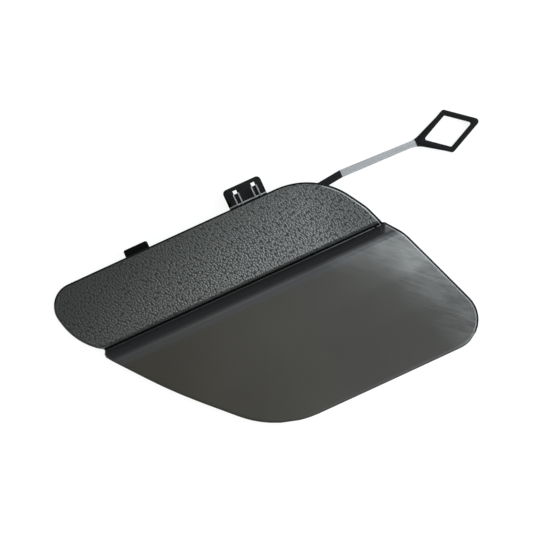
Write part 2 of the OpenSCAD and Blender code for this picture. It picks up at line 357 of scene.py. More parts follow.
def shining(tree, shader, share, most, least):
    """Links a specular level that rises with a share, from the least by at most so much."""
    level = calc(tree, "ADD", calc(tree, "MULTIPLY", share, most), least)
    tree.links.new(level, shader.inputs["Specular IOR Level"])


def across(tree, place, axis, low, high):
    """Rises softly from 0 to 1 between two places along an axis, in millimetres."""
    limits = {"Value": axes(tree, place)[axis], "From Min": low * MM, "From Max": high * MM}
    return add(tree, "ShaderNodeMapRange", limits, interpolation_type="SMOOTHSTEP").outputs["Result"]


def noise(tree, place, scale, detail=2.0, roughness=0.5):
    return add(tree, "ShaderNodeTexNoise",
               {"Vector": place, "Scale": scale, "Detail": detail, "Roughness": roughness}).outputs["Fac"]


def bumped(tree, shader, layers):
    """Stacks bumps, each with its height field and its depth in millimetres, below zero for pits."""
    normal = None
    for field, depth in layers:
        bump = add(tree, "ShaderNodeBump", {"Height": field, "Strength": 1.0, "Distance": abs(depth) * MM},
                   invert=depth < 0)
        if normal:
            tree.links.new(normal, bump.inputs["Normal"])
        normal = bump.outputs["Normal"]
    tree.links.new(normal, shader.inputs["Normal"])


# %% Grained band
GRAIN_TURN, GRAIN_STRETCH = 13, 1.6
GRAIN_PITCH, GRAIN_SEED, GRAIN_SOFT = 0.76, 3.0, 0.2
GRAIN_BUMP, BAND_LEAST = 0.10, 0.05


def cell_field(tree, place, turned, scale, seed):
    """How far a point is from the middle of its cell, made the same way for mesh and material."""
    aligned = add(tree, "ShaderNodeVectorRotate", {"Vector": place, "Angle": turned},
                  rotation_type="Z_AXIS", invert=True).outputs[0]
    squeezed = calc_vector(tree, "MULTIPLY", aligned, (1, 1 / GRAIN_STRETCH, 1))
    moved = calc_vector(tree, "ADD", squeezed, seed)
    return add(tree, "ShaderNodeTexVoronoi", {"Vector": moved, "Scale": scale, "Smoothness": GRAIN_SOFT},
               voronoi_dimensions="2D", feature="SMOOTH_F1").outputs["Distance"]


band_plastic, tree, shader, place = plastic("band_plastic", specular=0.6)
mottled(tree, shader, "Base Color", noise(tree, place, 45, 3),
        (0.0220, 0.0245, 0.0228), (0.0330, 0.0362, 0.0340))
mottled(tree, shader, "Roughness", noise(tree, place, 900, 2), 0.20, 0.32)
grain_cells = cell_field(tree, place, math.radians(GRAIN_TURN), 1 / (GRAIN_PITCH * MM), (GRAIN_SEED,) * 3)
# Painted sheen: the band's specular level rises towards the lower right and falls off at the right end, most
# on the grain cells' tops.
band_highlight = across(tree, stretched(tree, place, (1, 1, 1), -69), 0, -58, 6)
band_highlight_fade = calc(tree, "MULTIPLY", across(tree, place, 0, 36, 58), 0.5)
band_highlight = calc(tree, "MULTIPLY", band_highlight, calc(tree, "SUBTRACT", 1.0, band_highlight_fade))
tops = calc(tree, "SUBTRACT", 1.5, calc(tree, "MULTIPLY", grain_cells, 1.5))
painted_sheen = calc(tree, "MULTIPLY", calc(tree, "ADD", calc(tree, "MULTIPLY", band_highlight, 0.92), 0.29), tops)
tree.links.new(calc(tree, "MAXIMUM", painted_sheen, BAND_LEAST), shader.inputs["Specular IOR Level"])
bumped(tree, shader, [(grain_cells, -GRAIN_BUMP), (noise(tree, place, 3200, 2), 0.015)])

# %% Satin panel
panel_plastic, tree, shader, place = plastic("panel_plastic", specular=0.4)
warm = blended(tree, noise(tree, place, 22, 3), (0.020, 0.0187, 0.0145), (0.046, 0.0432, 0.0352))
# Painted highlight: above y = -8.2 the base colour turns lighter and neutral along the groove's far wall and
# the ridge.
colour = blended(tree, across(tree, place, 1, -10.5, -8.2), warm, (0.036, 0.037, 0.039))
tree.links.new(colour, shader.inputs["Base Color"])

# Painted highlight: a wedge at the upper right and a strip along the right flank raise the specular level,
# broken up by clouds and streaks.
painted_highlight_share = across(tree, stretched(tree, place, (1, 1, 1), 54.8), 0, 12, 33)
flank_highlight = across(tree, stretched(tree, place, (1, 1, 1), 20.7), 0, 44, 62)
painted_highlight_share = calc(tree, "MAXIMUM", painted_highlight_share, calc(tree, "MULTIPLY", flank_highlight, 0.8))
clouds = noise(tree, stretched(tree, place, (2.5, 1, 1), -42), 120, 4, 0.65)
streaks = noise(tree, stretched(tree, place, (20, 1, 1), -42), 900, 3)
uneven = calc(tree, "ADD", calc(tree, "MULTIPLY", clouds, 3.0), calc(tree, "MULTIPLY", streaks, 2.0))
painted_highlight_share = calc(tree, "MULTIPLY", painted_highlight_share, calc(tree, "MAXIMUM", calc(tree, "SUBTRACT", uneven, 1.5), 0.0))
shining(tree, shader, painted_highlight_share, 0.6, 0.4)
mottled(tree, shader, "Roughness", streaks, 0.19, 0.27)
bumped(tree, shader, [(streaks, 0.0012), (noise(tree, place, 2600, 2), 0.001)])

# %% Rim with painted shade, back, and strap with painted highlight
# Near-black, nearly unreflecting plastic: painted shade for the rim's sides that look to +X or +Y, the crease
# and the locating tab.
painted_shade_plastic, tree, shader, place = plastic("painted_shade_plastic", specular=0.06)
mottled(tree, shader, "Base Color", noise(tree, place, 300), (0.0015,) * 3, (0.003,) * 3)
mottled(tree, shader, "Roughness", noise(tree, place, 700), 0.5, 0.7)
bumped(tree, shader, [(noise(tree, place, 1500, 3), 0.006)])

# Matt plastic: the matt finish is the moulding's own, while the base darker than the face's is painted shade
# for the tabs and other parts below the face.
back_plastic, tree, shader, place = plastic("back_plastic", specular=0.12)
mottled(tree, shader, "Base Color", noise(tree, place, 60, 3),
        (0.0045, 0.0052, 0.0056), (0.0070, 0.0080, 0.0085))
mottled(tree, shader, "Roughness", noise(tree, place, 500), 0.42, 0.6)
bumped(tree, shader, [(noise(tree, place, 1600, 3), 0.008)])

# Painted highlight: a lighter grey plastic with a high specular level that rises towards +Y, for the strap's
# run, the lip tops and the facet along the right flank.
painted_highlight_plastic, tree, shader, place = plastic("painted_highlight_plastic", specular=1.0)
flow_and_highlight_streaks = noise(tree, stretched(tree, place, (8, 1, 1), -2), 700, 3)
mottled(tree, shader, "Base Color", flow_and_highlight_streaks, (0.14, 0.14, 0.145), (0.36, 0.365, 0.375))
mottled(tree, shader, "Roughness", flow_and_highlight_streaks, 0.20, 0.36)
bumped(tree, shader, [(flow_and_highlight_streaks, 0.004)])
shining(tree, shader, across(tree, place, 1, -42, -10), 0.75, 0.25)
print("plastics:", [m.name for m in bpy.data.materials if m.name.endswith("plastic")])

# %% [markdown]
# ## The face
# A thin shell of constant wall, with a rounded rim all round. A flat sheet bent by a
# modifier would lose the sharp crease, so the mesh follows the section: rows across the
# cover, packed closely at the nose and the crease, and all with the same number of points.
# The rows end on an inset of the outline. Rings of the partner outlines make a narrow facet,
# the rounded rim, the edge and the start of the back, which one triangulation closes. Each
# face gets the number of its zone, which later gives it its plastic. Where the rim looks to
# +X or +Y, and in the crease, it gets a near-black plastic as painted shade, and the facet
# that looks to +X gets a lighter plastic as a painted highlight, the light line of the
# photograph.

# %% Rows of the face
RIM, FACET, FACET_TILT, RIM_R = 1.5, 0.5, math.radians(5), 1.0
COLUMNS = 440
EDGE_ZONE = 1.25

inner_line = rounded(inset(outline_path, RIM))
row_top, row_bottom = inner_line[:, 1].max(), inner_line[:, 1].min()
edge_rows = [0.02 * k * k for k in range(8)]


def spaced(start, end, pitch):
    return list(np.linspace(start, end, max(2, round(abs(end - start) / pitch) + 1))[:-1])


rows = [row_top - d for d in edge_rows]
rows += spaced(row_top - EDGE_ZONE, 4.2, 0.34)
rows += spaced(4.2, -0.6, 0.17)
rows += spaced(-0.6, -9, 0.45)
rows += spaced(-9, row_bottom + EDGE_ZONE, 2.0)
rows += [row_bottom + d for d in reversed(edge_rows)]
print(len(rows), "rows of", COLUMNS + 1, "points")

# %% Where a row meets the outline


def crossing(line, y, side):
    """Segment and fraction at which a row leaves the outline on its left or right."""
    a, b = line, np.roll(line, -1, axis=0)
    meets = np.flatnonzero((np.minimum(a[:, 1], b[:, 1]) <= y) & (np.maximum(a[:, 1], b[:, 1]) > y))
    share = (y - a[meets, 1]) / (b[meets, 1] - a[meets, 1])
    x = a[meets, 0] + share * (b[meets, 0] - a[meets, 0])
    k = np.argmax(side * x)
    return meets[k], share[k]


def follow(line, trace):
    """Points on an outline at the segments and fractions of a trace."""
    segment, share = np.array(trace, float).T
    segment = segment.astype(int)
    a, b = line[segment], line[(segment + 1) % len(line)]
    return a + (b - a) * share[:, None]


def straight(line, y):
    """The straight edge at the top or bottom, as its segment's index."""
    ends = np.isclose(line[:, 1], y, atol=1e-4)
    both = ends & np.roll(ends, -1)
    lengths = np.abs(np.roll(line[:, 0], -1) - line[:, 0])
    return int(np.flatnonzero(both)[np.argmax(lengths[both])])


columns = np.linspace(0, 1, COLUMNS + 1)
top_edge, bottom_edge = straight(inner_line, row_top), straight(inner_line, row_bottom)
left_ends = [(top_edge, 1.0)] + [crossing(inner_line, y, -1) for y in rows[1:-1]] + [(bottom_edge, 0.0)]
right_ends = [(top_edge, 0.0)] + [crossing(inner_line, y, 1) for y in rows[1:-1]] + [(bottom_edge, 1.0)]
left_x, right_x = follow(inner_line, left_ends)[:, 0], follow(inner_line, right_ends)[:, 0]
row_x = left_x[:, None] + (right_x - left_x)[:, None] * columns
row_y = np.repeat(np.array(rows)[:, None], COLUMNS + 1, axis=1)
print("longest row", (right_x - left_x).max().round(1), "mm")

# %% The loop round the rows, and its partners on every other outline
index = np.arange(row_x.size).reshape(row_x.shape)
loop = [*index[::-1, -1], *index[0, -2:0:-1], *index[:, 0], *index[-1, 1:-1]]
trace = [*right_ends[::-1],
         *[(top_edge, 1 - c) for c in columns[-2:0:-1]],
         *left_ends,
         *[(bottom_edge, c) for c in columns[1:-1]]]


def ring_at(margin):
    return follow(rounded(inset(outline_path, margin)), trace)


facet_drop = FACET * math.tan(FACET_TILT)
rim_profile = [(RIM - 0.04, 0.0), (RIM - FACET, facet_drop)]
for degrees in (12, 24, 38, 52, 68, 90):
    a = math.radians(degrees)
    rim_profile.append((RIM_R * (1 - math.sin(a)), facet_drop + RIM_R * (1 - math.cos(a))))

EASE = 0.3
points = [np.column_stack([row_x.ravel(), row_y.ravel(), height(top_line, row_x, row_y).ravel()])]
for margin, drop in rim_profile:
    ring = ring_at(margin)
    points.append(np.column_stack([ring, height(top_line, ring[:, 0], ring[:, 1]) - drop]))
for margin, up in ((0, EASE), (0.3 * EASE, 0.3 * EASE), (EASE, 0)):
    ring = ring_at(margin)
    points.append(np.column_stack([ring, height(under_line, ring[:, 0], ring[:, 1]) + up]))
print(len(points) - 1, "rings of", len(loop), "points")

# %% Faces of the top, the rim and the edge
ZONE_PANEL, ZONE_BAND, ZONE_PAINTED_SHADE, ZONE_BACK, ZONE_PAINTED_HIGHLIGHT = range(5)
CREASE_TOP, CREASE_END = 1.1, 0.0


# The strip at the crease gets the near-black plastic as painted shade.
def zone_at(y):
    if y > CREASE_TOP:
        return ZONE_BAND
    return ZONE_PAINTED_SHADE if y > CREASE_END else ZONE_PANEL


faces, zones = [], []
for r in range(len(rows) - 1):
    a, b = index[r], index[r + 1]
    faces += list(zip(a[:-1], b[:-1], b[1:], a[1:]))
    zones += [zone_at(rows[r])] * COLUMNS

outward_way = (points[2] - points[1])[:, :2]
outward_way /= np.linalg.norm(outward_way, axis=1)[:, None]
count = row_x.size
inner = loop
for k in range(len(points) - 1):
    outer = list(range(count, count + len(loop)))
    faces += [(inner[i], outer[i], outer[(i + 1) % len(loop)], inner[(i + 1) % len(loop)])
              for i in range(len(loop))]
    if k == 1:
        # The facet that looks to +X gets the lighter plastic of a painted highlight.
        highlight_side = (outward_way[:, 0] > 0.6) & (points[2][:, 0] > 0)
        zones += [ZONE_PAINTED_HIGHLIGHT if highlighted else zone_at(y) for highlighted, y in zip(highlight_side, points[2][:, 1])]
    elif k < 3:
        zones += [zone_at(y) for y in points[k + 1][:, 1]]
    elif k < len(rim_profile) + 1:
        # Rim faces that look to +X or +Y get the near-black plastic as painted shade.
        shaded_side = (outward_way[:, 0] > 0.5) | (outward_way[:, 1] > 0.5)
        zones += [ZONE_PAINTED_SHADE if dark else zone_at(y) for dark, y in zip(shaded_side, points[2][:, 1])]
    else:
        zones += [ZONE_BACK] * len(loop)
    inner = outer
    count += len(loop)

# %% The back of the shell, closed by one triangulation
border = points[-1][:, :2]
BACK_MARGIN = 1.6
back_rows = [*np.arange(30, 3, -3), 3, 1.8, 0.9, 0.3, -0.4, -1.2,
             -2.4, -3.6, -4.8, -6, -7.5, -9.5, *np.arange(-14, -63, -5)]
back_line = rounded(inset(outline_path, BACK_MARGIN))
BACK_COLUMNS = 24
inside = []
for y in back_rows:
    ends = [follow(back_line, [crossing(back_line, y, side)])[0, 0] for side in (-1, 1)]
    inside += [(x, y) for x in np.linspace(*ends, BACK_COLUMNS)]
flat = [Vector(p) for p in border] + [Vector(p) for p in inside]
row_starts = range(len(border), len(flat), BACK_COLUMNS)
kept_edges = [(s + i, s + i + 1) for s in row_starts for i in range(BACK_COLUMNS - 1)]
found = geometry.delaunay_2d_cdt(flat, kept_edges, [list(range(len(border)))], 1, 1e-6)
assert len(found[0]) == len(flat), "the triangulation merged points"
inside = np.array(inside)
points.append(np.column_stack([inside, height(under_line, inside[:, 0], inside[:, 1])]))
order = [inner[o[0]] if o[0] < len(border) else count + o[0] - len(border) for o in found[3]]
faces += [tuple(order[v] for v in reversed(f)) for f in found[2]]
zones += [ZONE_BACK] * len(found[2])

face = made("face", np.vstack(points), faces)
face.data.attributes.new("zone", "INT", "FACE").data.foreach_set("value", zones)
print("face mesh of", len(face.data.vertices), "points")

# %% [markdown]
# ## Grain from the mould
# The band's grain is etched into the mould, so it stands on the surface and fades out at the
# nose and at the rim. It could be only a bump in the material, but then it would be missing
# from the mesh. So a Geometry Nodes tree sinks the points between rounded cells along their
# normals and leaves the cells' tops at the surface of the frame's solid. The plastic's bump
# uses the same cells. The tree also gives each zone of the face its plastic.

# %% Helpers for Geometry Nodes


def new_tree(name, **inputs):
    """An empty tree, its input sockets and the socket that takes the result."""
    tree = bpy.data.node_groups.new(name, "GeometryNodeTree")
    tree.interface.new_socket("Geometry", in_out="INPUT", socket_type="NodeSocketGeometry")
    for label, value in inputs.items():
        kind = "NodeSocketInt" if isinstance(value, int) else "NodeSocketFloat"
        tree.interface.new_socket(label, in_out="INPUT", socket_type=kind).default_value = value
    tree.interface.new_socket("Geometry", in_out="OUTPUT", socket_type="NodeSocketGeometry")
    result = tree.nodes.new("NodeGroupOutput").inputs["Geometry"]
    return tree, tree.nodes.new("NodeGroupInput").outputs, result


def read(tree, name, data_type):
    node = add(tree, "GeometryNodeInputNamedAttribute", {"Name": name}, data_type=data_type)
    return socket(node.outputs, "Attribute")


def painted(tree, geometry_in, material, selection=None):
    inputs = {"Geometry": geometry_in, "Material": material}
    if selection is not None:
        inputs["Selection"] = selection
    return add(tree, "GeometryNodeSetMaterial", inputs).outputs["Geometry"]


def grown(obj, tree, **values):
    """Runs a tree on a piece, with inputs by name, and keeps the result as its mesh."""
    modifier = obj.modifiers.new(tree.name, "NODES")
    modifier.node_group = tree
    for item in tree.interface.items_tree:
        if item.in_out == "INPUT" and item.name in values:
            modifier[item.identifier] = values[item.name]
    return applied(obj)


# %% Where the grain fades
GRAIN_FROM, GRAIN_FULL, GRAIN_MARGIN = 3.4, 4.8, 0.3
GRAIN_DEPTH, GRAIN_LEVEL = 0.19, 0.03


def ramp(value, low, high):
    t = np.clip((value - low) / (high - low), 0, 1)
    return t * t * (3 - 2 * t)


from_ends = np.minimum(row_x - left_x[:, None], right_x[:, None] - row_x)
from_edge = np.minimum(from_ends, row_top - row_y)
grain = np.zeros(len(face.data.vertices))
grain[:row_x.size] = (ramp(row_y, GRAIN_FROM, GRAIN_FULL) * ramp(from_edge, 0, GRAIN_MARGIN)).ravel()
face.data.attributes.new("grain", "FLOAT", "POINT").data.foreach_set("value", grain)
print("grained points:", int((grain > 0.5).sum()))

# %% The tree of the face
tree, entry, result = new_tree("mould_finish", Pitch=0.0009, Depth=0.0001, Turn=0.0, Seed=1.0)
cells = cell_field(tree, add(tree, "GeometryNodeInputPosition").outputs[0], entry["Turn"],
                   calc(tree, "DIVIDE", 1.0, entry["Pitch"]), entry["Seed"])
hill = calc(tree, "SUBTRACT", GRAIN_LEVEL, cells)
amount = calc(tree, "MULTIPLY", calc(tree, "MULTIPLY", hill, entry["Depth"]), read(tree, "grain", "FLOAT"))
normal = add(tree, "GeometryNodeInputNormal").outputs[0]
offset = add(tree, "ShaderNodeVectorMath", {0: normal, "Scale": amount}, operation="SCALE").outputs[0]
body = add(tree, "GeometryNodeSetPosition", {"Geometry": entry["Geometry"], "Offset": offset}).outputs[0]
body = add(tree, "GeometryNodeRealizeInstances", {"Geometry": body}).outputs[0]
for zone, material in ((ZONE_PANEL, panel_plastic), (ZONE_BAND, band_plastic),
                       (ZONE_PAINTED_SHADE, painted_shade_plastic), (ZONE_BACK, back_plastic), (ZONE_PAINTED_HIGHLIGHT, painted_highlight_plastic)):
    here = add(tree, "FunctionNodeCompare", {"A": read(tree, "zone", "INT"), "B": zone},
               data_type="INT", operation="EQUAL").outputs["Result"]
    body = painted(tree, body, material, here)
tree.links.new(body, result)

grown(face, tree, Pitch=GRAIN_PITCH * MM, Depth=GRAIN_DEPTH * MM,
      Turn=math.radians(GRAIN_TURN), Seed=GRAIN_SEED)
heights = np.array([v.co.z for v in face.data.vertices[:row_x.size]]) / MM - points[0][:, 2]
grained = grain[:row_x.size] > 0.9
print("grain from", heights[grained].min().round(3), "to", heights.max().round(3), "mm of the plain face")
finished(smooth(face))

# %% [markdown]
# ## The skirt
# A wall stands behind the face, set back from the outline, and carries it in the opening.
# It has a rounded free edge, and two relief slots beside each snap finger make the fingers
# springy. A Solidify modifier could thicken a sheet, but it leaves a square edge. So the
# wall is a loop of rings from partner outlines, with the section of a wall, and the slots
# are cut by Boolean modifiers.

# %% Loops with a section


def spread(line, pitch):
    """A trace along an outline, with no step longer than the pitch."""
    lengths = np.linalg.norm(np.roll(line, -1, axis=0) - line, axis=1)
    return [(i, k / n) for i, n in enumerate(np.maximum(np.ceil(lengths / pitch), 1).astype(int))
            if lengths[i] > 0.001 for k in range(n)]


def loop_piece(name, path, profile, pitch, materials):
    """Sweeps a section of (margin, height) round a path; a height of None means up to the face."""
    where = spread(rounded(path), pitch)
    points, faces = [], []
    for margin, z in profile:
        ring = follow(rounded(inset(path, margin)), where)
        top = height(middle_line, ring[:, 0], ring[:, 1])
        points.append(np.column_stack([ring, top if z is None else np.full(len(ring), z)]))
    n = len(where)
    for k in range(len(profile)):
        a, b = k * n, (k + 1) % len(profile) * n
        faces += [(a + i, b + i, b + (i + 1) % n, a + (i + 1) % n) for i in range(n)]
    obj = made(name, np.vstack(points), faces, materials)
    return outward(obj)


def outward(obj):
    body = bmesh.new()
    body.from_mesh(obj.data)
    bmesh.ops.recalc_face_normals(body, faces=body.faces)
    body.to_mesh(obj.data)
    body.free()
    return obj


def prism(name, shape, low, high, axis="z", materials=()):
    """A flat shape drawn out along an axis."""
    turned = {"z": lambda u, v, w: (u, v, w),
              "x": lambda u, v, w: (w, u, v),
              "y": lambda u, v, w: (u, w, v)}[axis]
    n = len(shape)
    points = [turned(u, v, w) for w in (low, high) for u, v in shape]
    faces = [list(range(n))[::-1], list(range(n, 2 * n))]
    faces += [(i, (i + 1) % n, n + (i + 1) % n, n + i) for i in range(n)]
    return outward(made(name, points, faces, materials))


def block(x, y, z):
    return prism("block", [(x[0], y[0]), (x[1], y[0]), (x[1], y[1]), (x[0], y[1])], *z)


def combine(obj, tool, operation):
    modifier = obj.modifiers.new(operation, "BOOLEAN")
    modifier.operation, modifier.solver, modifier.object = operation, "EXACT", tool
    applied(obj)
    bpy.data.objects.remove(tool)
    return obj


def coated(obj, material, chosen):
    """Gives the faces that a test chooses by their middle, in millimetres, another plastic."""
    obj.data.materials.append(material)
    for side in obj.data.polygons:
        if chosen(*(side.center / MM)):
            side.material_index = len(obj.data.materials) - 1
    return obj


def eased(obj, width, segments=3):
    modifier = obj.modifiers.new("eased", "BEVEL")
    modifier.width, modifier.segments = width * MM, segments
    modifier.limit_method, modifier.angle_limit = "ANGLE", math.radians(40)
    return applied(obj)


# %% The wall of the skirt
EDGE, EDGE_MIDDLE = 0.35, 0.1
skirt_inner = skirt_inset + skirt_t
skirt_profile = [(skirt_inset, None), (skirt_inset, EDGE), (skirt_inset + EDGE_MIDDLE, EDGE_MIDDLE),
                 (skirt_inset + EDGE, 0), (skirt_inner - EDGE, 0), (skirt_inner - EDGE_MIDDLE, EDGE_MIDDLE),
                 (skirt_inner, EDGE), (skirt_inner, None)]
skirt = loop_piece("skirt", outline_path, skirt_profile, 4, [back_plastic])
skirt_y = -panel_depth + skirt_inset
fingers = [finger_mid - finger_pitch / 2, finger_mid + finger_pitch / 2]
for finger_x in fingers:
    for side in (-1, 1):
        x = finger_x + side * (finger_w + relief_w) / 2
        combine(skirt, block((x - relief_w / 2, x + relief_w / 2), (skirt_y - 1, skirt_y + skirt_t + 1),
                             (-1, finger_len)), "DIFFERENCE")
finished(smooth(skirt))

# %% [markdown]
# ## Ribs
# Thin ribs cross the hollow and reach from a common height up into the wall, so their upper
# edge follows the whole section. They could be boxes cut by the back of the face, but
# that needs a Boolean with a very fine mesh. Instead a tree sweeps one rounded bar along
# each rib's line, out of a mesh of edges, and lifts the bar's upper half into the wall.

# %% Lines of the ribs
RIB_STEP = 1.2
RIB_FOOT, RIB_EASE = 2.0, 0.25
skirt_middle = rounded(inset(outline_path, skirt_inset + skirt_t / 2))
turned_middle = skirt_middle[:, ::-1]


def rib_line(start, end):
    steps = math.ceil(math.dist(start, end) / RIB_STEP)
    return [np.add(start, np.subtract(end, start) * k / steps) for k in range(steps + 1)]


def span(line, at):
    return [follow(line, [crossing(line, at, side)])[0, 0] for side in (-1, 1)]


cross_places = [k * rib_pitch for k in range(-2, 3)]
lines = [rib_line(*[(x, y) for y in span(turned_middle, x)]) for x in cross_places]
lines.append(rib_line(*[(x, -long_rib_at) for x in span(skirt_middle, -long_rib_at)]))

rib_points = np.vstack(lines)
rib_mesh = bpy.data.meshes.new("ribs")
starts = np.cumsum([0] + [len(line) for line in lines])
rib_edges = [(s + i, s + i + 1) for s, line in zip(starts, lines) for i in range(len(line) - 1)]
rib_level = rib_free_h + RIB_FOOT / 2
rib_mesh.from_pydata([(x * MM, y * MM, rib_level * MM) for x, y in rib_points], rib_edges, [])
reach = height(middle_line, rib_points[:, 0], rib_points[:, 1]) * MM
rib_mesh.attributes.new("reach", "FLOAT", "POINT").data.foreach_set("value", reach)
ribs = bpy.data.objects.new("ribs", rib_mesh)
bpy.context.scene.collection.objects.link(ribs)
print(len(lines), "ribs, the longest", round(max(math.dist(line[0], line[-1]) for line in lines), 1), "mm")

# %% The tree of the ribs
tree, entry, result = new_tree("stiffening_ribs", Thickness=0.001, Foot=0.002, Free_height=0.008, Ease=0.0002)
bar = add(tree, "GeometryNodeCurvePrimitiveQuadrilateral",
          {"Width": entry["Thickness"], "Height": entry["Foot"]}).outputs[0]
bar = add(tree, "GeometryNodeFilletCurve",
          {"Curve": bar, "Radius": entry["Ease"], "Count": 3}, mode="POLY").outputs[0]
curve = add(tree, "GeometryNodeMeshToCurve", {"Mesh": entry["Geometry"]}).outputs[0]
curve = add(tree, "GeometryNodeSetCurveNormal", {"Curve": curve}, mode="Z_UP").outputs[0]
body = add(tree, "GeometryNodeCurveToMesh",
           {"Curve": curve, "Profile Curve": bar, "Fill Caps": True}).outputs[0]
place = axes(tree, add(tree, "GeometryNodeInputPosition").outputs[0])
middle = calc(tree, "ADD", entry["Free_height"], calc(tree, "MULTIPLY", entry["Foot"], 0.5))
upper = add(tree, "FunctionNodeCompare", {"A": place["Z"], "B": middle},
            data_type="FLOAT", operation="GREATER_THAN").outputs[0]
lifted = add(tree, "ShaderNodeCombineXYZ",
             {"X": place["X"], "Y": place["Y"], "Z": read(tree, "reach", "FLOAT")}).outputs[0]
body = add(tree, "GeometryNodeSetPosition",
           {"Geometry": body, "Selection": upper, "Position": lifted}).outputs[0]
body = add(tree, "GeometryNodeRealizeInstances", {"Geometry": body}).outputs[0]
tree.links.new(painted(tree, body, back_plastic), result)

grown(ribs, tree, Thickness=rib_t * MM, Foot=RIB_FOOT * MM,
      Free_height=rib_free_h * MM, Ease=RIB_EASE * MM)
finished(smooth(outward(ribs)))

# %% [markdown]
# ## Snap noses
# The two spring fingers catch the lower edge of the opening with a wedge. An Array modifier
# could repeat it too. One nose is drawn as a section and eased, and a small tree repeats it
# at the pitch of the fingers, which stays an input with a name.

# %% One nose and its copies
nose_root, nose_flat = 0.4, 0.4
nose_foot, nose_edge = 0.15 * nose_h, 0.65 * nose_h
nose_section = [(nose_root, nose_foot), (0, nose_foot), (-nose_out, nose_edge),
                (-nose_out, nose_edge + nose_flat), (0, nose_h), (nose_root, nose_h)]
noses = prism("snap_noses", [(skirt_y + u, v) for u, v in nose_section],
              fingers[0] - finger_w / 2, fingers[0] + finger_w / 2, "x", [back_plastic])
eased(noses, 0.2)

tree, entry, result = new_tree("repeated", Count=2, Pitch=0.04)
along_x = add(tree, "ShaderNodeCombineXYZ", {"X": entry["Pitch"]}).outputs[0]
places = add(tree, "GeometryNodeMeshLine",
             {"Count": entry["Count"], "Offset": along_x}, mode="OFFSET").outputs[0]
copies = add(tree, "GeometryNodeInstanceOnPoints",
             {"Points": places, "Instance": entry["Geometry"]}).outputs[0]
body = add(tree, "GeometryNodeRealizeInstances", {"Geometry": copies}).outputs[0]
tree.links.new(painted(tree, body, back_plastic), result)
grown(noses, tree, Count=len(fingers), Pitch=finger_pitch * MM)
finished(smooth(noses))

# %% [markdown]
# ## The tabs
# The hook tab reaches out from under the band, with two slots that end in open windows. It
# is moulded as a plate with low lips beside the slots and across its root, and a gusset
# under each slot. Plain prisms joined and cut by Booleans give it its exact shape, and one
# bevel eases all the edges. The tops of the lips get the lighter plastic of a painted
# highlight. The locating tab is only a short plate, in the near-black plastic of painted shade.

# %% Hook tab
tab_root_y = band_depth - skirt_inset - skirt_t / 2
tab_top = band_edge_h - wall - hook_gap - (crown_r - math.sqrt(crown_r ** 2 - hook_at ** 2))


def tab_plate(name, at, w, out, t, r):
    low, high = tab_root_y, band_depth + out
    start, end = at - w / 2, at + w / 2
    shape = rounded([(start, low, 0), (end, low, 0), (end, high, r), (start, high, r)])
    return prism(name, shape, tab_top - t, tab_top, "z")


hook = tab_plate("hook_tab", hook_at, hook_w, hook_out, hook_t, hook_r)
hook.data.materials.append(back_plastic)
lip_root, lip_gap, hair = 0.4, 0.4, 0.01
slot_end = band_depth + hook_out - slot_from_tip
window_start = slot_end - window_len
slot_places = [hook_at + slot_shift - slot_pitch / 2, hook_at + slot_shift + slot_pitch / 2]
for x in slot_places:
    sides = (x - slot_w / 2, x + slot_w / 2)
    gusset = [(tab_root_y, tab_top - hook_t + 0.3), (window_start, tab_top - hook_t + 0.3),
              (window_start, tab_top - hook_t - 0.4), (tab_root_y, 1)]
    combine(hook, prism("gusset", gusset, *sides, "x"), "UNION")
    combine(hook, block(sides, (window_start, slot_end), (tab_top - hook_t - 1, tab_top + 1)), "DIFFERENCE")
    combine(hook, block(sides, (band_depth, slot_end), (tab_top - slot_depth, tab_top + 1)), "DIFFERENCE")
    for side in (-1, 1):
        lip_x = x + side * (slot_w + lip_w) / 2
        combine(hook, block((lip_x - lip_w / 2, lip_x + lip_w / 2), (band_depth, window_start),
                            (tab_top - lip_root, tab_top + lip_h)), "UNION")
combine(hook, block((hook_at - hook_w / 2 + hair, hook_at + hook_w / 2 - hair),
                    (band_depth + lip_gap, band_depth + lip_gap + lip_w),
                    (tab_top - lip_root, tab_top + lip_h - hair)), "UNION")
eased(hook, 0.08, 2)
# The lip tops get the lighter plastic of a painted highlight.
coated(hook, painted_highlight_plastic, lambda x, y, z: z > tab_top + 0.15)
finished(smooth(hook))

# %% Locating tab
locator = tab_plate("locating_tab", locator_at, locator_w, locator_out, locator_t, locator_r)
# The locating tab gets the near-black plastic as painted shade.
locator.data.materials.append(painted_shade_plastic)
finished(smooth(eased(locator, 0.3)))

# %% [markdown]
# ## Strap and ring
# The strap leaves the skirt at the right shoulder, falls steeply to its kink and then more
# gently to the ring, getting slimmer. It could be a bar swept along a curve, but that gives
# a knuckle at the kink. So its plan and its side view are each drawn once, and the bar is
# what both have in common. The plan ends in a joint that spreads along two sides of the
# ring. The ring is a flat diamond with a hole. Between the kink and the joint the strap has
# the lighter plastic of a painted highlight, because the photograph shows it light.

# %% Places of the strap and the ring


def heading(degrees):
    return np.array([math.cos(math.radians(degrees)), math.sin(math.radians(degrees))])


root_r = corner_radii(outline_path)[shoulder_corner] - skirt_inset - skirt_t / 2
root = corner_centre(outline_path, shoulder_corner) + root_r * heading(strap_at)
skirt_way, lead_way, run_way = heading(strap_at - 90), heading(strap_heading), heading(strap_run_heading)
kink = root + strap_lead * lead_way
joint = kink + strap_run * run_way
ring_mid = joint + (ring_gap + ring_len / 2) * heading(ring_heading)
along = ring_len / 2 * heading(ring_heading)
across_ring = ring_wide / 2 * heading(ring_heading + 90 - ring_lean)
ring_hole = [(*(ring_mid + v), ring_r) for v in (along, across_ring, -along, -across_ring)]
ring_rim = [(x, y, ring_tip_r) for x, y, r in inset(ring_hole, -ring_bar)]
print("kink", kink.round(1), "joint", joint.round(1), "ring", ring_mid.round(1))

